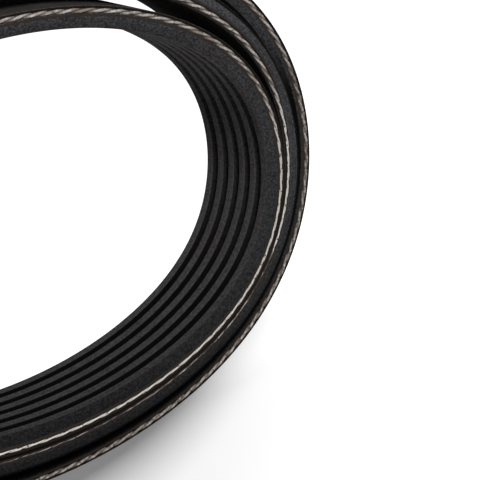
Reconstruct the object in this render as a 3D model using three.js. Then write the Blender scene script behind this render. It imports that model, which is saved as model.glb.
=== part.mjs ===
// Serpentine belt with six V ribs, lying on its side as a wound coil, in millimetres.
// One big loop of the belt lies innermost. The rest is folded flat, rib to rib,
// and wrapped round that loop, so three strands lie beside each other.
// +Z is the coil's axis. The lowest cut edge stands on z = 0.
import * as THREE from 'three';
import { mergeVertices } from 'three/addons/utils/BufferGeometryUtils.js';

const degree = Math.PI / 180;

// Belt section
const ribCount = 6;
const ribPitch = 3.56;
const ribTipWidth = 1.8;
const ribHeight = 2.1;
const ribFlankAngle = 20 * degree;
const beltThickness = 4.25;

// Tensile cord, and the groove in each cut edge where it shows
const cordDepth = 0.95;
const cordDiameter = 0.9;
const cordExposure = 0.65;
const cordClearance = 0.1;
const cordRecess = 0.05;

// Inner turn: an oval, blunter at its +X end, measured on the cord line
const ovalHalfLength = 63;
const ovalHalfWidth = 40.3;
const ovalBluntness = 1.1;

// Gaps between the strands, and how the middle one draws away from the inner turn
const backGap = 0.4;
const ribGap = 1.1;
const spreadRate = 0.55;
const spreadStart = -54 * degree;

// Neck, where the middle strand turns back into the inner turn
const neckAngle = 112 * degree;
const neckRadius = 8;
const neckFlareRadius = 20;
const neckRoom = 1.4;
const swellStart = 66 * degree;

// Tip, where the outer strand runs straight and then folds over into the middle one
const tipAngle = -98 * degree;
const tipRadius = 9;
const tipFlareRadius = 20;
const tipStraight = 22;

// Lead, where the inner turn swings out past the neck and becomes the outer strand
const leadFootAngle = -113 * degree;
const leadReach = 0.52;

// Height of each strand's lower edge
const outerHeight = 0;
const middleHeight = 3.6;
const innerHeight = 4.6;

// Spacing of the stations along the path
const strandStep = 7.5 * degree;
const flareSteps = 3;
const bendSteps = 11;
const leadSteps = 15;

const rubberMaterial = new THREE.MeshStandardMaterial({ color: 0x2b2c2e, roughness: 0.82, metalness: 0 });
const upperCordMaterial = new THREE.MeshStandardMaterial({ color: 0xb9ac9b, roughness: 0.9, metalness: 0 });
const lowerCordMaterial = upperCordMaterial.clone();

// Widths and levels of the section, measured from the cord line, backs positive
const beltWidth = ribCount * ribPitch;
const ribFlankRun = ribHeight * Math.tan(ribFlankAngle);
const backLevel = cordDepth;
const tipLevel = cordDepth - beltThickness;
const rootLevel = tipLevel + ribHeight;

// A station is a place on the cord line: its point, the angle that the back faces, and its height.
function station(point, backAngle, height) {
  return { x: point.x, y: point.y, backAngle, height };
}

// The oval's distance from its centre to the tangent line whose normal has this angle.
function ovalReach(angle) {
  const plain = Math.hypot(ovalHalfLength * Math.cos(angle), ovalHalfWidth * Math.sin(angle));
  return plain - ovalBluntness * Math.cos(3 * angle);
}

function ovalReachSlope(angle) {
  const plain = Math.hypot(ovalHalfLength * Math.cos(angle), ovalHalfWidth * Math.sin(angle));
  const squares = ovalHalfWidth ** 2 - ovalHalfLength ** 2;
  return squares * Math.sin(angle) * Math.cos(angle) / plain + 3 * ovalBluntness * Math.sin(3 * angle);
}

// A quadratic that is zero up to a start angle, with its slope
function growth(rate, start, angle) {
  const past = Math.max(0, angle - start);
  return { value: rate * past ** 2, slope: 2 * rate * past };
}

// Each strand lies at an offset outside the inner turn, at the same normal angle.
function innerOffset() {
  return { value: 0, slope: 0 };
}

function middleOffset(angle) {
  const spread = growth(spreadRate, spreadStart, angle);
  return { value: 2 * backLevel + backGap + spread.value, slope: spread.slope };
}

// The neck's round end lies past the neck angle, and the outer strand has to clear it.
const neckGap = middleOffset(neckAngle).value;
const neckFlareAngle = Math.acos((neckFlareRadius + neckGap / 2) / (neckFlareRadius + neckRadius));
const neckBendDistance = (neckFlareRadius + neckRadius) * Math.sin(neckFlareAngle);
const neckTopAngle = neckAngle + neckBendDistance / ovalHalfLength;
const neckFall = neckBendDistance ** 2 / (2 * ovalHalfLength);
const neckClearOffset = neckGap / 2 + neckRadius - 2 * tipLevel + ribGap + neckFall + neckRoom;
const plainTopOffset = middleOffset(neckTopAngle).value - 2 * tipLevel + ribGap;
const swellRate = (neckClearOffset - plainTopOffset) / (neckTopAngle - swellStart) ** 2;

function outerOffset(angle) {
  const middle = middleOffset(angle);
  const swell = growth(swellRate, swellStart, angle);
  return {
    value: middle.value - 2 * tipLevel + ribGap + swell.value,
    slope: middle.slope + swell.slope,
  };
}

function strandPoint(angle, offset) {
  const reach = ovalReach(angle) + offset.value;
  const slide = ovalReachSlope(angle) + offset.slope;
  return new THREE.Vector2(
    reach * Math.cos(angle) - slide * Math.sin(angle),
    reach * Math.sin(angle) + slide * Math.cos(angle),
  );
}

// One strand between two normal angles. backTurn is PI where its back faces the oval's centre.
function strand(fromAngle, toAngle, offsetAt, backTurn, height) {
  const steps = Math.ceil(Math.abs(toAngle - fromAngle) / strandStep);
  const stations = [];
  for (let i = 0; i <= steps; i += 1) {
    const angle = fromAngle + (toAngle - fromAngle) * i / steps;
    stations.push(station(strandPoint(angle, offsetAt(angle)), angle + backTurn, height));
  }
  return stations;
}

// A keyhole fold between two parallel strands: each flares out, and a round bend joins them.
// side is 1 for a bend to the left of the way in, and -1 for one to the right.
function fold(middle, heading, side, gap, bendRadius, flareRadius, fromHeight, toHeight) {
  const flareAngle = Math.acos((flareRadius + gap / 2) / (flareRadius + bendRadius));
  const bendCentre = (flareRadius + bendRadius) * Math.sin(flareAngle);
  const places = [];
  for (let i = 0; i <= flareSteps; i += 1) {
    const turn = flareAngle * i / flareSteps;
    const across = gap / 2 + flareRadius * (1 - Math.cos(turn));
    places.push({ along: flareRadius * Math.sin(turn), across: -side * across, turn: -side * turn });
  }
  for (let i = 1; i < bendSteps; i += 1) {
    const turn = -flareAngle + (Math.PI + 2 * flareAngle) * i / bendSteps;
    places.push({
      along: bendCentre + bendRadius * Math.sin(turn),
      across: -side * bendRadius * Math.cos(turn),
      turn: side * turn,
    });
  }
  for (let i = flareSteps; i >= 0; i -= 1) {
    const turn = flareAngle * i / flareSteps;
    const across = gap / 2 + flareRadius * (1 - Math.cos(turn));
    places.push({ along: flareRadius * Math.sin(turn), across: side * across, turn: side * (Math.PI + turn) });
  }
  return places.map((place, i) => {
    const rise = THREE.MathUtils.smoothstep(i / (places.length - 1), 0, 1);
    const point = new THREE.Vector2(place.along, place.across).rotateAround(new THREE.Vector2(), heading);
    return station(point.add(middle), heading + place.turn + Math.PI / 2, THREE.MathUtils.lerp(fromHeight, toHeight, rise));
  });
}

// The lead: a smooth curve from the end of the inner turn to the start of the outer strand.
function lead(from, to) {
  const start = new THREE.Vector2(from.x, from.y);
  const end = new THREE.Vector2(to.x, to.y);
  const reach = leadReach * start.distanceTo(end);
  const ahead = new THREE.Vector2(Math.sin(from.backAngle), -Math.cos(from.backAngle)).multiplyScalar(reach);
  const behind = new THREE.Vector2(-Math.sin(to.backAngle), Math.cos(to.backAngle)).multiplyScalar(reach);
  const curve = new THREE.CubicBezierCurve(start, start.clone().add(ahead), end.clone().add(behind), end);
  const stations = [];
  for (let i = 1; i < leadSteps; i += 1) {
    const tangent = curve.getTangent(i / leadSteps);
    const height = THREE.MathUtils.lerp(from.height, to.height, THREE.MathUtils.smoothstep(i / leadSteps, 0, 1));
    stations.push(station(curve.getPoint(i / leadSteps), tangent.angle() + Math.PI / 2, height));
  }
  return stations;
}

// The whole closed path, clockwise along the inner turn, with the ribs on its right-hand side
function beltPath() {
  const inner = strand(neckAngle, leadFootAngle, innerOffset, 0, innerHeight);
  const outer = strand(neckTopAngle, tipAngle, outerOffset, 0, outerHeight);
  const middle = strand(tipAngle, neckAngle, middleOffset, Math.PI, middleHeight);

  const tipGap = outerOffset(tipAngle).value - middleOffset(tipAngle).value;
  const tipMiddle = strandPoint(tipAngle, middleOffset(tipAngle))
    .add(new THREE.Vector2(tipGap / 2, -tipStraight).rotateAround(new THREE.Vector2(), tipAngle));
  const tip = fold(tipMiddle, tipAngle - Math.PI / 2, -1, tipGap, tipRadius, tipFlareRadius, outerHeight, middleHeight);

  const neckMiddle = strandPoint(neckAngle, middleOffset(neckAngle))
    .add(new THREE.Vector2(-neckGap / 2, 0).rotateAround(new THREE.Vector2(), neckAngle));
  const neck = fold(neckMiddle, neckAngle + Math.PI / 2, 1, neckGap, neckRadius, neckFlareRadius, middleHeight, innerHeight);

  const join = [...inner, ...lead(inner.at(-1), outer[0]), ...outer, ...tip, ...middle, ...neck];
  return join.filter((place, i) => {
    const next = join[(i + 1) % join.length];
    return Math.hypot(next.x - place.x, next.y - place.y) > 0.01;
  });
}

// The belt's section as [level, height] pairs, round from the back's lower edge.
// The cut edges are flat down to the level of the rib roots.
function beltSection() {
  const grooveHalf = cordDiameter / 2 + cordClearance;
  const grooveFloor = cordRecess + cordExposure + cordClearance;
  const outline = [[backLevel, 0], [backLevel, beltWidth]];
  outline.push([grooveHalf, beltWidth], [grooveHalf, beltWidth - grooveFloor]);
  outline.push([-grooveHalf, beltWidth - grooveFloor], [-grooveHalf, beltWidth]);
  for (let rib = ribCount - 1; rib >= 0; rib -= 1) {
    const centre = (rib + 0.5) * ribPitch;
    const tipHalf = ribTipWidth / 2;
    const footHalf = tipHalf + ribFlankRun;
    const upperFoot = rib === ribCount - 1 ? beltWidth : centre + footHalf;
    const lowerFoot = rib === 0 ? 0 : centre - footHalf;
    outline.push([rootLevel, upperFoot], [tipLevel, centre + tipHalf]);
    outline.push([tipLevel, centre - tipHalf], [rootLevel, lowerFoot]);
  }
  outline.push([-grooveHalf, 0], [-grooveHalf, grooveFloor]);
  outline.push([grooveHalf, grooveFloor], [grooveHalf, 0]);
  return outline;
}

// The exposed cord's section: a rounded strand whose open side lies just under the cut edge.
function cordSection(edge, inward) {
  const half = cordDiameter / 2;
  const face = edge + inward * cordRecess;
  const root = face + inward * cordExposure;
  const outline = [[half, root], [half / 2, face], [-half / 2, face], [-half, root]];
  return inward > 0 ? outline.reverse() : outline;
}

// Sweeps a closed section round the closed path.
function sweep(path, section) {
  const positions = [];
  for (const place of path) {
    for (const [level, height] of section) {
      positions.push(
        place.x + level * Math.cos(place.backAngle),
        place.y + level * Math.sin(place.backAngle),
        place.height + height,
      );
    }
  }
  const indices = [];
  const size = section.length;
  for (let i = 0; i < path.length; i += 1) {
    const here = i * size;
    const next = ((i + 1) % path.length) * size;
    for (let j = 0; j < size; j += 1) {
      const k = (j + 1) % size;
      indices.push(here + j, next + k, next + j);
      indices.push(here + j, here + k, next + k);
    }
  }
  const geometry = new THREE.BufferGeometry();
  geometry.setAttribute('position', new THREE.Float32BufferAttribute(positions, 3));
  geometry.setIndex(indices);
  return mergeVertices(geometry);
}

function mesh(name, geometry, material) {
  geometry.computeVertexNormals();
  const piece = new THREE.Mesh(geometry, material);
  piece.name = name;
  return piece;
}

const path = beltPath();

const coil = new THREE.Group();
coil.add(mesh('ribbed_belt', sweep(path, beltSection()), rubberMaterial));
coil.add(mesh('edge_cord_upper', sweep(path, cordSection(beltWidth, -1)), upperCordMaterial));
coil.add(mesh('edge_cord_lower', sweep(path, cordSection(0, 1)), lowerCordMaterial));

// The origin lies under the middle of the coil's box.
const middle = new THREE.Box3().setFromObject(coil).getCenter(new THREE.Vector3());
coil.position.set(-middle.x, -middle.y, 0);

const part = new THREE.Group();
part.add(coil);

export default part;
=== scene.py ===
import math

import bpy
from mathutils import Matrix, Vector


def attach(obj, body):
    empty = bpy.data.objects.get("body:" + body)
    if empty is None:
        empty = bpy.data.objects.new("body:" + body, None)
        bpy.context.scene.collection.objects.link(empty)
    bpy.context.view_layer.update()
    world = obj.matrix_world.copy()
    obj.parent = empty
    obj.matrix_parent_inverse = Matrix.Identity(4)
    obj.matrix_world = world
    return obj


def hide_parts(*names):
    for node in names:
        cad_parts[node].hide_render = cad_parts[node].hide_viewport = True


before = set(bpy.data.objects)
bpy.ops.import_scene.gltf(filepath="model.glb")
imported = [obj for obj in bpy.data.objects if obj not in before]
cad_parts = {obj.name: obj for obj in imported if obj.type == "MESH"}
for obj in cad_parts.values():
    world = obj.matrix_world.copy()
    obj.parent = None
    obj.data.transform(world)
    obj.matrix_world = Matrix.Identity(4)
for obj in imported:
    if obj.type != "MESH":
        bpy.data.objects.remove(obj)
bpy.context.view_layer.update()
bpy.ops.object.select_all(action="DESELECT")


# The belt's line.
# A serpentine belt is one endless band. One big loop of it lies innermost, and the rest is
# folded flat, rib to rib, and wrapped round that loop. This line is the layer of its cord.
degree = math.pi / 180
belt_thickness = 0.00425
cord_depth = 0.00095
back_level = cord_depth
tip_level = cord_depth - belt_thickness
oval_half_length = 0.063
oval_half_width = 0.0403
oval_bluntness = 0.0011
back_gap = 0.0004
rib_gap = 0.0011
spread_rate = 0.00055
spread_start = -54 * degree
neck_angle = 112 * degree
neck_radius = 0.008
neck_flare_radius = 0.020
neck_room = 0.0014
swell_start = 66 * degree
tip_angle = -98 * degree
tip_radius = 0.009
tip_flare_radius = 0.020
tip_straight = 0.022
lead_foot_angle = -113 * degree
lead_reach = 0.52
outer_height = 0.0
middle_height = 0.0036
inner_height = 0.0046
coil_middle = Vector((-0.007326, 0.002281))
fineness = 12
strand_step = 7.5 * degree / fineness
flare_steps = 3 * fineness
bend_steps = 11 * fineness
lead_steps = 15 * fineness
merge_distance = 1e-5


def plain_reach(angle):
    return math.hypot(oval_half_length * math.cos(angle), oval_half_width * math.sin(angle))


def oval_reach(angle):
    """How far the oval lies from its middle, measured along the normal with this angle."""
    return plain_reach(angle) - oval_bluntness * math.cos(3 * angle)


def oval_reach_slope(angle):
    squares = oval_half_width ** 2 - oval_half_length ** 2
    plain_slope = squares * math.sin(angle) * math.cos(angle) / plain_reach(angle)
    return plain_slope + 3 * oval_bluntness * math.sin(3 * angle)


def growth(rate, start, angle):
    past = max(0.0, angle - start)
    return rate * past ** 2, 2 * rate * past


def inner_offset(angle):
    """A strand's distance outside the oval, and how fast it grows with the angle."""
    return 0.0, 0.0


def middle_offset(angle):
    spread, slope = growth(spread_rate, spread_start, angle)
    return 2 * back_level + back_gap + spread, slope


def bend_shape(gap, bend_radius, flare_radius):
    """The angle of the flare before a round fold, and how far on the middle of the fold lies."""
    flare_angle = math.acos((flare_radius + gap / 2) / (flare_radius + bend_radius))
    return flare_angle, (flare_radius + bend_radius) * math.sin(flare_angle)


# Towards the neck, the outer strand swells outwards so that its ribs clear the round fold there
neck_gap = middle_offset(neck_angle)[0]
neck_bend_distance = bend_shape(neck_gap, neck_radius, neck_flare_radius)[1]
neck_top_angle = neck_angle + neck_bend_distance / oval_half_length
neck_fall = neck_bend_distance ** 2 / (2 * oval_half_length)
neck_clear_offset = neck_gap / 2 + neck_radius - 2 * tip_level + rib_gap + neck_fall + neck_room
plain_top_offset = middle_offset(neck_top_angle)[0] - 2 * tip_level + rib_gap
swell_rate = (neck_clear_offset - plain_top_offset) / (neck_top_angle - swell_start) ** 2


def outer_offset(angle):
    middle, middle_slope = middle_offset(angle)
    swell, swell_slope = growth(swell_rate, swell_start, angle)
    return middle - 2 * tip_level + rib_gap + swell, middle_slope + swell_slope


def turned(x, y, angle):
    cosine, sine = math.cos(angle), math.sin(angle)
    return Vector((x * cosine - y * sine, x * sine + y * cosine))


def strand_point(angle, offset):
    value, slope = offset(angle)
    return turned(oval_reach(angle) + value, oval_reach_slope(angle) + slope, angle)


def strand(from_angle, to_angle, offset, height):
    steps = math.ceil(abs(to_angle - from_angle) / strand_step)
    angles = [from_angle + (to_angle - from_angle) * i / steps for i in range(steps + 1)]
    return [(*strand_point(angle, offset), height) for angle in angles]


def eased(share):
    return share * share * (3 - 2 * share)


def fold(middle, heading, side, gap, bend_radius, flare_radius, from_height, to_height):
    """A round fold between two strands: it flares out, turns back on itself and flares in again."""
    flare_angle, bend_centre = bend_shape(gap, bend_radius, flare_radius)
    flare = []
    for i in range(flare_steps + 1):
        turn = flare_angle * i / flare_steps
        flare.append((flare_radius * math.sin(turn), gap / 2 + flare_radius * (1 - math.cos(turn))))
    places = [(along, -side * across) for along, across in flare]
    for i in range(1, bend_steps):
        turn = -flare_angle + (math.pi + 2 * flare_angle) * i / bend_steps
        along = bend_centre + bend_radius * math.sin(turn)
        places.append((along, -side * bend_radius * math.cos(turn)))
    places += [(along, side * across) for along, across in reversed(flare)]
    points = []
    for i, (along, across) in enumerate(places):
        height = from_height + (to_height - from_height) * eased(i / (len(places) - 1))
        points.append((*(turned(along, across, heading) + middle), height))
    return points


def lead(start_angle, end_angle):
    """The run on which the belt leaves the inner turn and sinks to the outer strand."""
    start = strand_point(start_angle, inner_offset)
    end = strand_point(end_angle, outer_offset)
    reach = lead_reach * (end - start).length
    ahead = start + turned(0, -reach, start_angle)
    behind = end + turned(0, reach, end_angle)
    points = []
    for i in range(1, lead_steps):
        t = i / lead_steps
        u = 1 - t
        place = u ** 3 * start + 3 * u * u * t * ahead + 3 * u * t * t * behind + t ** 3 * end
        points.append((*place, inner_height + (outer_height - inner_height) * eased(t)))
    return points


tip_gap = outer_offset(tip_angle)[0] - middle_offset(tip_angle)[0]
tip_middle = strand_point(tip_angle, middle_offset) + turned(tip_gap / 2, -tip_straight, tip_angle)
neck_middle = strand_point(neck_angle, middle_offset) + turned(-neck_gap / 2, 0, neck_angle)
stretches = [
    strand(neck_angle, lead_foot_angle, inner_offset, inner_height),
    lead(lead_foot_angle, neck_top_angle),
    strand(neck_top_angle, tip_angle, outer_offset, outer_height),
    fold(tip_middle, tip_angle - math.pi / 2, -1, tip_gap, tip_radius, tip_flare_radius,
         outer_height, middle_height),
    strand(tip_angle, neck_angle, middle_offset, middle_height),
    fold(neck_middle, neck_angle + math.pi / 2, 1, neck_gap, neck_radius, neck_flare_radius,
         middle_height, inner_height),
]
line = [Vector((x - coil_middle.x, y - coil_middle.y, z))
        for stretch in stretches for x, y, z in stretch]
line = [point for i, point in enumerate(line)
        if (line[(i + 1) % len(line)] - point).length > merge_distance]
runs = [0.0]
for i, point in enumerate(line):
    runs.append(runs[-1] + (line[(i + 1) % len(line)] - point).length)
belt_length = runs[-1]


def run_to(offset, angle):
    """How far along the belt a strand reaches the place whose normal has this angle."""
    place = strand_point(angle, offset) - coil_middle
    return runs[min(range(len(line)), key=lambda i: (line[i].xy - place).length)]


guide_data = bpy.data.curves.new("belt_line", "CURVE")
guide_data.dimensions = "3D"
guide_data.twist_mode = "Z_UP"
spline = guide_data.splines.new("POLY")
spline.points.add(len(line) - 1)
for point, place in zip(spline.points, line):
    point.co = (*place, 1)
spline.use_cyclic_u = True
guide = bpy.data.objects.new("belt_line", guide_data)
bpy.context.collection.objects.link(guide)


def select_only(*pieces):
    bpy.ops.object.select_all(action="DESELECT")
    for piece in pieces:
        piece.select_set(True)
    bpy.context.view_layer.objects.active = pieces[0]


def bend_round(piece):
    """Bends a straight blank, which runs along X, round the belt's line, and closes its ends."""
    select_only(piece)
    bend = piece.modifiers.new("bend", "CURVE")
    bend.object = guide
    bend.deform_axis = "POS_X"
    bpy.ops.object.modifier_apply(modifier="bend")
    bpy.ops.object.mode_set(mode="EDIT")
    bpy.ops.mesh.select_all(action="SELECT")
    bpy.ops.mesh.remove_doubles(threshold=merge_distance)
    bpy.ops.mesh.normals_make_consistent(inside=False)
    bpy.ops.object.mode_set(mode="OBJECT")


# The belt's body.
# EPDM rubber with six ground V ribs, a cord layer and a thin backing, vulcanised into one band.
# The blank is cut from a sleeve, so its edges are flat and open a groove along the outermost cord.
rib_count = 6
rib_pitch = 0.00356
rib_tip_width = 0.0018
rib_height = 0.0021
rib_flank_angle = 20 * degree
rib_foot_half = rib_tip_width / 2 + rib_height * math.tan(rib_flank_angle)
rib_centres = [(rib + 0.5) * rib_pitch for rib in range(rib_count)]
belt_width = rib_count * rib_pitch
root_level = tip_level + rib_height
channel_half = 0.00062
channel_depth = 0.0008
tip_rounding = 0.00022
root_rounding = 0.0001
back_rounding = 0.00015
back_margin = 0.00002
smooth_angle = 20 * degree
belt_stations = 1200
touching = 1e-6

bpy.ops.mesh.primitive_plane_add(size=1, rotation=(0, math.pi / 2, 0))
belt = bpy.context.object
belt.name = "belt"
belt.scale = (belt_width, back_level - root_level, 1)
belt.location = (0, (back_level + root_level) / 2, belt_width / 2)
bpy.ops.object.transform_apply(location=True, rotation=True, scale=True)


def cut_section(place, normal):
    bpy.ops.mesh.select_all(action="SELECT")
    bpy.ops.mesh.bisect(plane_co=place, plane_no=normal)


def pick(piece, kind, chosen):
    """Selects the faces, edges or vertices whose middle the chosen test takes, in edit mode."""
    bpy.ops.object.mode_set(mode="OBJECT")
    mesh = piece.data
    for group in (mesh.polygons, mesh.edges, mesh.vertices):
        group.foreach_set("select", [False] * len(group))
    for item in getattr(mesh, kind):
        if kind == "vertices":
            middle = item.co
        else:
            corners = [mesh.vertices[i].co for i in item.vertices]
            middle = sum(corners, Vector()) / len(corners)
        item.select = chosen(middle)
    bpy.ops.object.mode_set(mode="EDIT")


def in_channel(middle):
    from_edge = belt_width / 2 - abs(middle.z - belt_width / 2)
    return abs(middle.y) < channel_half and from_edge < channel_depth


bpy.ops.object.mode_set(mode="EDIT")
for upper, lower in zip(rib_centres[:-1], rib_centres[1:]):
    cut_section((0, 0, upper + rib_foot_half), (0, 0, 1))
    cut_section((0, 0, lower - rib_foot_half), (0, 0, 1))
for depth in (channel_depth, belt_width - channel_depth):
    cut_section((0, 0, depth), (0, 0, 1))
for level in (channel_half, -channel_half):
    cut_section((0, level, 0), (0, 1, 0))

bpy.context.tool_settings.mesh_select_mode = (False, False, True)
pick(belt, "polygons", in_channel)
bpy.ops.mesh.delete(type="FACE")

bpy.context.tool_settings.mesh_select_mode = (False, True, False)
for centre in rib_centres:
    pick(belt, "edges",
         lambda m: abs(m.y - root_level) < touching and abs(m.z - centre) < rib_foot_half)
    bpy.ops.mesh.extrude_edges_move(TRANSFORM_OT_translate={"value": (0, -rib_height, 0)})
    narrowing = rib_tip_width / 2 / rib_foot_half
    bpy.ops.transform.resize(value=(1, 1, narrowing), center_override=(0, tip_level, centre))

bpy.context.tool_settings.mesh_select_mode = (False, False, True)
bpy.ops.mesh.select_all(action="SELECT")
bpy.ops.mesh.dissolve_faces(use_verts=False)
bpy.ops.mesh.select_all(action="SELECT")
bpy.ops.mesh.dissolve_limited(angle_limit=degree, use_dissolve_boundaries=False)

bpy.context.tool_settings.mesh_select_mode = (True, False, False)
for corner_level, rounding, segments in ((tip_level, tip_rounding, 2),
                                         (root_level, root_rounding, 1),
                                         (back_level, back_rounding, 2)):
    pick(belt, "vertices", lambda m: abs(m.y - corner_level) < touching)
    bpy.ops.mesh.bevel(offset=rounding, segments=segments, affect="VERTICES")
bpy.ops.mesh.select_all(action="SELECT")
bpy.ops.mesh.delete(type="ONLY_FACE")
bpy.ops.object.mode_set(mode="OBJECT")

draw = belt.modifiers.new("draw", "SCREW")
draw.axis = "X"
draw.angle = 0
draw.screw_offset = belt_length
draw.steps = belt_stations
draw.render_steps = belt_stations
bpy.ops.object.modifier_apply(modifier="draw")

# The share of the cord that the knife has left to be seen, along the belt: 1 where it lies whole
cord_shares = [
    (0, 1),
    (run_to(inner_offset, 22 * degree), 1),
    (run_to(inner_offset, 6 * degree), 0.68),
    (run_to(inner_offset, lead_foot_angle), 0.56),
    (run_to(outer_offset, 118 * degree), 1),
    (run_to(outer_offset, tip_angle), 1),
    (run_to(middle_offset, tip_angle), 0.28),
    (run_to(middle_offset, -38 * degree), 0.32),
    (run_to(middle_offset, -20 * degree), 0.60),
    (run_to(middle_offset, 8 * degree), 0.60),
    (run_to(middle_offset, 24 * degree), 1),
    (belt_length, 1),
]


def cord_share(along):
    for (start, first), (end, last) in zip(cord_shares[:-1], cord_shares[1:]):
        if along <= end:
            return first + (last - first) * eased(max(0, along - start) / (end - start))
    return 1


# Gum fills the channel to just under the cut face, and closes in on the cord where it is thin
gum_depth = 0.00028
for vertex in belt.data.vertices:
    place = vertex.co
    from_edge = min(place.z, belt_width - place.z)
    if abs(abs(place.y) - channel_half) < touching and from_edge < channel_depth + touching:
        share = cord_share(place.x)
        place.y *= share
        if from_edge > channel_depth / 2:
            depth = gum_depth * share
            place.z = depth if place.z < belt_width / 2 else belt_width - depth


def keep_numbers(piece, name, numbers):
    made = piece.data.attributes.new(name, "FLOAT", "POINT")
    made.data.foreach_set("value", numbers)


# Where each place lies in the straight blank: along it, across it, and its level from the cord
keep_numbers(belt, "level", [vertex.co.y for vertex in belt.data.vertices])
keep_numbers(belt, "across", [vertex.co.z for vertex in belt.data.vertices])
lay_of = belt.data.uv_layers.new(name="lay")
for loop in belt.data.loops:
    place = belt.data.vertices[loop.vertex_index].co
    lay_of.data[loop.index].uv = (place.x, place.z)
backing_faces = [face.center.y > back_level - back_margin for face in belt.data.polygons]
belt.data.polygons.foreach_set("material_index", [int(chosen) for chosen in backing_faces])
bend_round(belt)
bpy.ops.object.shade_smooth_by_angle(angle=smooth_angle)


def node(tree, kind, **settings):
    made = tree.nodes.new("ShaderNode" + kind)
    for name, value in settings.items():
        setattr(made, name, value)
    return made


def math_node(tree, operation, first, second):
    made = node(tree, "Math", operation=operation)
    for socket, value in zip(made.inputs, (first, second)):
        if isinstance(value, (int, float)):
            socket.default_value = value
        else:
            tree.links.new(value, socket)
    return made.outputs[0]


def times(tree, first, second):
    return math_node(tree, "MULTIPLY", first, second)


def ramp(tree, value, low, high, to_low=0, to_high=1, interpolation="LINEAR"):
    made = node(tree, "MapRange", interpolation_type=interpolation)
    settings = {"From Min": low, "From Max": high, "To Min": to_low, "To Max": to_high}
    for name, number in settings.items():
        made.inputs[name].default_value = number
    tree.links.new(value, made.inputs["Value"])
    return made.outputs[0]


def band(tree, value, low, high, soft):
    """A mask that is 1 where the value lies from low to high, with soft edges."""
    rise = ramp(tree, value, low - soft, low + soft, interpolation="SMOOTHSTEP")
    fall = ramp(tree, value, high + soft, high - soft, interpolation="SMOOTHSTEP")
    return times(tree, rise, fall)


def blend_colour(tree, mask, below, above):
    """Mixes two colours by a mask. Either may be a socket or three numbers."""
    made = node(tree, "Mix", data_type="RGBA")
    tree.links.new(mask, made.inputs[0])
    for socket, value in ((made.inputs[6], below), (made.inputs[7], above)):
        if isinstance(value, tuple):
            socket.default_value = (*value, 1)
        else:
            tree.links.new(value, socket)
    return made.outputs[2]


def tint(tree, colour, mask, strength, shade):
    """Lays a shade over the colour where the mask is, at part of its strength."""
    return blend_colour(tree, times(tree, mask, strength), colour, shade)


def noise(tree, place, scale, detail, roughness=0.5):
    made = node(tree, "TexNoise")
    made.inputs["Scale"].default_value = scale
    made.inputs["Detail"].default_value = detail
    made.inputs["Roughness"].default_value = roughness
    tree.links.new(place, made.inputs["Vector"])
    return made.outputs["Fac"]


def build_grain():
    """Rubber grain: fine pits over slow blotches. Speckle is a mask, and Height feeds bump."""
    grain = bpy.data.node_groups.new("rubber_grain", "ShaderNodeTree")
    for name, direction, kind in (("Place", "INPUT", "Vector"), ("Grain Scale", "INPUT", "Float"),
                                  ("Speckle", "OUTPUT", "Float"), ("Blotch", "OUTPUT", "Float"),
                                  ("Height", "OUTPUT", "Float")):
        grain.interface.new_socket(name, in_out=direction, socket_type="NodeSocket" + kind)
    inside = grain.nodes.new("NodeGroupInput")
    outside = grain.nodes.new("NodeGroupOutput")
    scaled = node(grain, "VectorMath", operation="SCALE")
    grain.links.new(inside.outputs["Place"], scaled.inputs[0])
    grain.links.new(inside.outputs["Grain Scale"], scaled.inputs["Scale"])
    fine = noise(grain, scaled.outputs[0], 1, 3, 0.6)
    slow = noise(grain, scaled.outputs[0], 0.06, 2)
    pits = node(grain, "TexVoronoi")
    pits.inputs["Scale"].default_value = 0.7
    grain.links.new(scaled.outputs[0], pits.inputs["Vector"])
    height = math_node(grain, "MULTIPLY_ADD", pits.outputs["Distance"], 0.5)
    grain.links.new(fine, height.node.inputs[2])
    grain.links.new(band(grain, fine, 0.56, 2, 0.09), outside.inputs["Speckle"])
    grain.links.new(slow, outside.inputs["Blotch"])
    grain.links.new(height, outside.inputs["Height"])
    return grain


rubber_grain = build_grain()


def place_grain(tree, place, scale):
    made = node(tree, "Group")
    made.node_tree = rubber_grain
    made.inputs["Grain Scale"].default_value = scale
    tree.links.new(place, made.inputs["Place"])
    return made.outputs


def start_material(name, specular):
    made = bpy.data.materials.new(name)
    made.use_nodes = True
    shader = made.node_tree.nodes["Principled BSDF"]
    shader.inputs["Specular IOR Level"].default_value = specular
    return made, made.node_tree, shader


def read(tree, name):
    return node(tree, "Attribute", attribute_name=name).outputs["Fac"]


def split(tree, place):
    made = node(tree, "SeparateXYZ")
    tree.links.new(place, made.inputs[0])
    return made.outputs


def stretched_place(tree, **axes):
    """A place for noise whose X, Y and Z are each a value and its scale, so that it forms lines."""
    made = node(tree, "CombineXYZ")
    for axis, (value, scale) in axes.items():
        tree.links.new(times(tree, value, scale), made.inputs[axis])
    return made.outputs[0]


def vary_roughness(tree, shader, mask, low, high):
    tree.links.new(ramp(tree, mask, 0, 1, low, high), shader.inputs["Roughness"])


def finish_surface(tree, shader, colour, height, strength, distance):
    tree.links.new(colour, shader.inputs["Base Color"])
    bump = node(tree, "Bump")
    bump.inputs["Strength"].default_value = strength
    bump.inputs["Distance"].default_value = distance
    tree.links.new(height, bump.inputs["Height"])
    tree.links.new(bump.outputs[0], shader.inputs["Normal"])


rubber, tree, shader = start_material("ribbed_rubber", 0.03)
coordinates = node(tree, "TexCoord").outputs["Object"]
level = read(tree, "level")
across = read(tree, "across")
along = split(tree, node(tree, "UVMap", uv_map="lay").outputs["UV"])["X"]
grain = place_grain(tree, coordinates, 3000)
mottle = noise(tree, coordinates, 1800, 3, 0.65)
drift = noise(tree, coordinates, 110, 2, 0.5)

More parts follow.
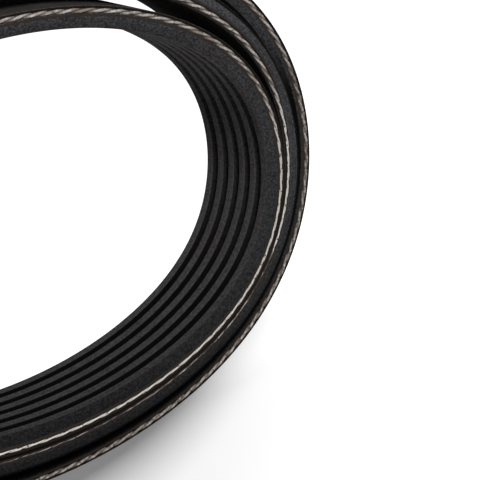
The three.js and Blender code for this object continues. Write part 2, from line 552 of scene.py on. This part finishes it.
# Lines that the grinding and the knife leave along the belt
lines_place = stretched_place(tree, X=(along, 90), Y=(level, 6500), Z=(across, 6500))
lines = noise(tree, lines_place, 1, 3, 0.55)

# The places across the section: ribs, grooves and the layers that show on the cut face
edge_distance = math_node(tree, "MINIMUM", across, math_node(tree, "SUBTRACT", belt_width, across))
cut_face = band(tree, edge_distance, -1, 0.00003, 0.00002)
edge_flank = band(tree, edge_distance, -1, rib_pitch / 4, 0.0001)
between_ribs = band(tree, edge_distance, rib_pitch / 2, 1, 0.0002)
tip_edge_highlight = band(tree, level, tip_level + 0.00002, tip_level + 0.0001, 0.00004)
groove = times(tree, band(tree, level, tip_level + 0.00012, 1, 0.0001), between_ribs)
knife_mark = times(tree, band(tree, level, tip_level + 0.0011, -0.00098, 0.0004), edge_flank)
cover_level = 0.00052
cover = times(tree, band(tree, level, cover_level, 1, 0.00004), cut_face)
gum = times(tree, band(tree, level, -0.00105, cover_level, 0.00012), cut_face)

# The strands along the belt. Where the outer strand lies rib to rib against the middle one, their
# cut faces are painted with shade. In the first run of the inner turn, the painted shade in the
# grooves is lighter.
strand_fade = 0.01
lighter_groove_fade = 0.04
outer_start = run_to(outer_offset, 24 * degree)
outer_end = run_to(outer_offset, tip_angle)
facing_angle = 75 * degree
facing_start = run_to(outer_offset, facing_angle)
facing_end = run_to(middle_offset, facing_angle)
outer = band(tree, along, outer_start, outer_end, strand_fade)
middle = band(tree, along, outer_end, run_to(middle_offset, 24 * degree), strand_fade)
facing = band(tree, along, facing_start, facing_end, strand_fade)
lighter_groove_shade = band(tree, along, lighter_groove_fade, run_to(inner_offset, 6 * degree), lighter_groove_fade)
# Painted shade: the grooves between the ribs are painted near black, less so on the inner turn's
# first run
painted_groove_shade = math_node(tree, "SUBTRACT", 0.98, times(tree, lighter_groove_shade, 0.78))
# Painted shade: near black over the outer strand's cut face below its cord, and near the rib tips
# where the strands face each other
outer_shade = times(tree, band(tree, level, -1, -0.0014, 0.00015), outer)
facing_shade = times(tree, band(tree, level, -1, tip_level + 0.0006, 0.00012), facing)
shade = times(tree, math_node(tree, "MAXIMUM", outer_shade, facing_shade), edge_flank)
no_gum = times(tree, band(tree, level, -1, -0.0004, 0.0001), middle)
gum = math_node(tree, "SUBTRACT", gum, times(tree, gum, no_gum))

# Painted light and shade: the rubber is scaled darker towards the near side of the coil and lighter
# towards its far side
far_side = split(tree, coordinates)["Y"]
painted_light_start = -0.048
painted_light_end = 0.043


def painted_light_from(near, far):
    return ramp(tree, far_side, painted_light_start, painted_light_end, near, far)


face_painted_light = painted_light_from(0.50, 2.9)
middle_painted_light = math_node(tree, "MINIMUM", painted_light_from(0.95, 4.5), 2.7)
face_painted_light = math_node(tree, "ADD", times(tree, face_painted_light, math_node(tree, "SUBTRACT", 1, middle)),
                       times(tree, middle_painted_light, middle))
rib_painted_light = math_node(tree, "MAXIMUM", painted_light_from(1.35, 3.4), painted_light_from(-9, 9.8))
rib_painted_light = math_node(tree, "MINIMUM", rib_painted_light, 6)


def painted_lit(colour, bloom):
    made = node(tree, "VectorMath", operation="SCALE")
    tree.links.new(colour, made.inputs[0])
    tree.links.new(bloom, made.inputs["Scale"])
    return made.outputs[0]


colour = blend_colour(tree, lines, (0.0085, 0.0076, 0.0078), (0.0150, 0.0138, 0.0142))
colour = tint(tree, colour, between_ribs, 0.8, (0.0160, 0.0150, 0.0152))
colour = tint(tree, colour, knife_mark, 0.7, (0.0080, 0.0108, 0.0128))
colour = tint(tree, colour, band(tree, drift, 0.55, 2, 0.12), 0.6, (0.0108, 0.0093, 0.0095))
colour = tint(tree, colour, band(tree, mottle, 0.55, 2, 0.07), 0.7, (0.0200, 0.0205, 0.0214))
colour = tint(tree, colour, band(tree, mottle, -1, 0.45, 0.07), 0.55, (0.0050, 0.0046, 0.0048))
colour = tint(tree, colour, grain["Speckle"], 0.5, (0.038, 0.0365, 0.0365))
# Painted highlight along the rounded edges of the rib tips
colour = tint(tree, colour, tip_edge_highlight, 0.45, (0.024, 0.0224, 0.0222))
# Painted light and shade scale the colour of the ribs and of the cut faces
colour = blend_colour(tree, edge_flank, painted_lit(colour, rib_painted_light), painted_lit(colour, face_painted_light))
# Painted shade in the grooves between the ribs
colour = blend_colour(tree, times(tree, groove, painted_groove_shade), colour, (0.0004, 0.0004, 0.0005))
# Painted shade where the strands lie rib to rib
colour = tint(tree, colour, shade, 0.95, (0.0008, 0.0008, 0.0009))
colour = blend_colour(tree, gum, colour, (0.028, 0.0215, 0.018))
colour = blend_colour(tree, cover, colour, (0.012, 0.009, 0.0072))
vary_roughness(tree, shader, grain["Blotch"], 0.62, 0.86)
rubber_height = math_node(tree, "ADD", grain["Height"], lines)
finish_surface(tree, shader, colour, rubber_height, 0.8, 0.00015)

backing, tree, shader = start_material("backing_rubber", 0.45)
grain = place_grain(tree, node(tree, "TexCoord").outputs["Object"], 4200)
colour = blend_colour(tree, grain["Blotch"], (0.013, 0.0105, 0.009), (0.024, 0.021, 0.0185))
colour = tint(tree, colour, grain["Speckle"], 0.4, (0.055, 0.050, 0.045))
vary_roughness(tree, shader, grain["Blotch"], 0.48, 0.72)
finish_surface(tree, shader, colour, grain["Height"], 0.5, 0.00006)

belt.data.materials.append(rubber)
belt.data.materials.append(backing)
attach(belt, "root")
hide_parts("ribbed_belt")


# The edge cords.
# Polyester tensile cord of three twisted plies, wound through the belt. The knife that parts the
# belts from the sleeve lays one run of it open along each cut edge.
ply_count = 3
ply_sides = 8
ply_radius = 0.00036
ply_lay_radius = 0.00028
cord_crest = ply_lay_radius + ply_radius
cord_turns = round(belt_length / 0.0102)
turn_steps = 14
cord_proud = 0.00003
full_cut = 0.48
outer_cord_shift = 0.0002
outer_cord_fade = 0.02

cord, tree, shader = start_material("tensile_cord", 0.2)
shader.inputs["Roughness"].default_value = 0.85
coordinates = node(tree, "TexCoord").outputs["Object"]
ply_place = split(tree, node(tree, "UVMap", uv_map="lay").outputs["UV"])
fibre_place = stretched_place(tree, X=(ply_place["X"], 700), Y=(ply_place["Y"], 9))
fibres = noise(tree, fibre_place, 1, 3, 0.6)
smear = noise(tree, coordinates, 260, 3, 0.6)
soot = noise(tree, coordinates, 1500, 2, 0.6)
gum_patch = noise(tree, fibre_place, 0.35, 2, 0.5)
cut_fibre = read(tree, "shaved")
clean_cut = math_node(tree, "MINIMUM", cut_fibre, 1)
thin = band(tree, cut_fibre, 1.25, 9, 0.15)
# Where the plies lie deep under the cut face the cord is painted dark brown: partly soil, partly
# painted shade in the recesses
sunk = math_node(tree, "ADD", read(tree, "sunk"), times(tree, fibres, 0.3))
sunk = band(tree, sunk, 0.75, 9, 0.3)
soil = times(tree, band(tree, ply_place["X"], outer_start, outer_end, strand_fade),
             band(tree, soot, 0.52, 2, 0.07))

pale_fibres = band(tree, fibres, 0.5, 2, 0.14)
colour = blend_colour(tree, pale_fibres, (0.21, 0.19, 0.17), (0.43, 0.405, 0.385))
colour = blend_colour(tree, band(tree, smear, 0.58, 2, 0.08), colour, (0.18, 0.148, 0.12))
# Dark brown between the plies: partly soil, partly painted shade
colour = tint(tree, colour, sunk, 0.8, (0.085, 0.065, 0.05))
colour = tint(tree, colour, soil, 0.7, (0.060, 0.045, 0.035))
cut_colour = blend_colour(tree, fibres, (0.34, 0.31, 0.28), (0.78, 0.75, 0.71))
colour = blend_colour(tree, clean_cut, colour, cut_colour)
colour = tint(tree, colour, thin, 0.5, (0.20, 0.17, 0.145))
gum_patch = times(tree, band(tree, gum_patch, 0.46, 2, 0.04), thin)
colour = blend_colour(tree, gum_patch, colour, (0.040, 0.031, 0.025))
colour = blend_colour(tree, band(tree, soot, 0.64, 2, 0.05), colour, (0.05, 0.04, 0.035))
finish_surface(tree, shader, colour, fibres, 0.7, 0.00005)


def outer_share(along):
    """1 along the outer strand, where the cord lies nearer to the back, and 0 elsewhere."""
    from_start = (along - outer_start) / outer_cord_fade
    to_end = (outer_end - along) / outer_cord_fade
    return eased(max(0, min(1, from_start, to_end)))


def wander(along):
    """The real cord doesn't lie quite straight."""
    return 0.00003 * math.sin(along * 1310) + 0.00002 * math.sin(along * 3170)


def lay_ply(turn):
    """One ply as a straight helix along X, with its own run and round as its map."""
    bpy.ops.mesh.primitive_circle_add(vertices=ply_sides, radius=ply_radius,
                                      rotation=(0, math.pi / 2, 0))
    ply = bpy.context.object
    ply.location = (0, ply_lay_radius, 0)
    bpy.ops.object.transform_apply(location=True, rotation=True, scale=True)
    twist = ply.modifiers.new("twist", "SCREW")
    twist.axis = "X"
    twist.angle = -2 * math.pi
    twist.screw_offset = belt_length / cord_turns
    twist.iterations = cord_turns
    twist.steps = turn_steps
    twist.render_steps = turn_steps
    bpy.ops.object.modifier_apply(modifier="twist")
    lay = ply.data.uv_layers.new(name="lay")
    for face in ply.data.polygons:
        rounds = [i % ply_sides for i in face.vertices]
        closes = max(rounds) == ply_sides - 1
        for loop_index, vertex, place in zip(face.loop_indices, face.vertices, rounds):
            closing = ply_sides if place == 0 and closes else place
            lay.data[loop_index].uv = (ply.data.vertices[vertex].co.x, closing / ply_sides)
    ply.rotation_euler = (turn, 0, 0)
    bpy.ops.object.transform_apply(location=True, rotation=True, scale=True)
    return ply


def lay_cord(name, side, node_name):
    """side is 1 for the upper edge and -1 for the lower one."""
    select_only(*[lay_ply(2 * math.pi * i / ply_count) for i in range(ply_count)])
    bpy.ops.object.join()
    made = bpy.context.object
    made.name = name
    vertices = made.data.vertices
    keep_numbers(made, "shaved", [(1 - cord_share(v.co.x)) / full_cut for v in vertices])
    keep_numbers(made, "sunk", [(cord_crest - side * v.co.z) / gum_depth for v in vertices])
    face_height = belt_width + cord_proud if side > 0 else 0
    for vertex in vertices:
        along, level, height = vertex.co
        share = cord_share(along)
        level = level * share + wander(along) + outer_cord_shift * outer_share(along)
        vertex.co = (along, level, face_height - side * cord_crest * share + height * share)
    bend_round(made)
    bpy.ops.object.shade_smooth()
    made.data.materials.append(cord)
    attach(made, "root")
    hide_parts(node_name)
    return made


lay_cord("upper_edge_cord", 1, "edge_cord_upper")
lay_cord("lower_edge_cord", -1, "edge_cord_lower")
bpy.data.objects.remove(guide)


# The studio.
# A white sweep, lit by one big soft window from behind and a weak card in front. The camera looks
# down on the coil, rolled to the view in which the belt shows as a standing loop, and close, so
# that only its right half is in frame.
bpy.ops.mesh.primitive_plane_add(size=3)
floor = bpy.context.object
floor.name = "floor"
paper = bpy.data.materials.new("white_paper")
paper.use_nodes = True
tree = paper.node_tree
shader = tree.nodes["Principled BSDF"]
shader.inputs["Base Color"].default_value = (0.9, 0.9, 0.9, 1)
shader.inputs["Roughness"].default_value = 0.9
glow = node(tree, "Emission")
glow.inputs["Strength"].default_value = 1.5

# Painted light: the paper glows to the camera unevenly, hiding the belt's shadow inside and beside
# the loop, least where it falls in front of the coil
floor_place = node(tree, "TexCoord").outputs["Object"]
floor_axes = split(tree, floor_place)
from_shadow = node(tree, "VectorMath", operation="DISTANCE")
from_shadow.inputs[1].default_value = (0.030, -0.058, 0)
tree.links.new(floor_place, from_shadow.inputs[0])
far = ramp(tree, from_shadow.outputs["Value"], 0.015, 0.16, 0.02, 0.95, "SMOOTHSTEP")
behind = times(tree, band(tree, floor_axes["Y"], -0.046, 1, 0.006), 0.75)
beside = times(tree, band(tree, floor_axes["X"], 0.062, 1, 0.016),
               band(tree, floor_axes["Y"], -0.060, 1, 0.007))
share = math_node(tree, "MAXIMUM", far, behind)
share = math_node(tree, "MAXIMUM", share, times(tree, beside, 0.3))
share = times(tree, node(tree, "LightPath").outputs["Is Camera Ray"], share)
paper_or_glow = node(tree, "MixShader")
tree.links.new(share, paper_or_glow.inputs[0])
tree.links.new(shader.outputs[0], paper_or_glow.inputs[1])
tree.links.new(glow.outputs[0], paper_or_glow.inputs[2])
tree.links.new(paper_or_glow.outputs[0], tree.nodes["Material Output"].inputs["Surface"])
floor.data.materials.append(paper)

world = bpy.data.worlds.new("studio_air")
bpy.context.scene.world = world
world.use_nodes = True
tree = world.node_tree
sky = tree.nodes["Background"]
sky.inputs["Color"].default_value = (1, 1, 1, 1)
seen = node(tree, "LightPath").outputs["Is Camera Ray"]
tree.links.new(math_node(tree, "MAXIMUM", seen, 0.15), sky.inputs["Strength"])


def hang_lamp(name, place, size, energy):
    data = bpy.data.lights.new(name, "AREA")
    data.size = size
    data.energy = energy
    lamp = bpy.data.objects.new(name, data)
    lamp.location = place
    lamp.rotation_mode = "QUATERNION"
    lamp.rotation_quaternion = (-Vector(place)).to_track_quat("-Z", "Y")
    bpy.context.collection.objects.link(lamp)


hang_lamp("window", (-0.10, 0.60, 0.62), 0.3, 10.0)
hang_lamp("front_card", (-0.35, -0.35, 0.30), 0.5, 0.7)

camera_place = (-0.1351, 0.0996, 0.2817)
camera_forward = Vector((0.5658, -0.3390, -0.7516)).normalized()
camera_right = camera_forward.cross(Vector((0.2602, 0.9384, -0.2273))).normalized()
camera_up = camera_right.cross(camera_forward)
camera_data = bpy.data.cameras.new("camera")
camera_data.sensor_width = 36
camera_data.lens = 127.5
camera_data.clip_start = 0.01
camera_data.clip_end = 10
camera = bpy.data.objects.new("camera", camera_data)
camera_turn = Matrix((camera_right, camera_up, -camera_forward)).transposed()
camera.matrix_world = Matrix.Translation(camera_place) @ camera_turn.to_4x4()
bpy.context.collection.objects.link(camera)
bpy.context.scene.camera = camera
bpy.context.scene.view_settings.view_transform = "Standard"
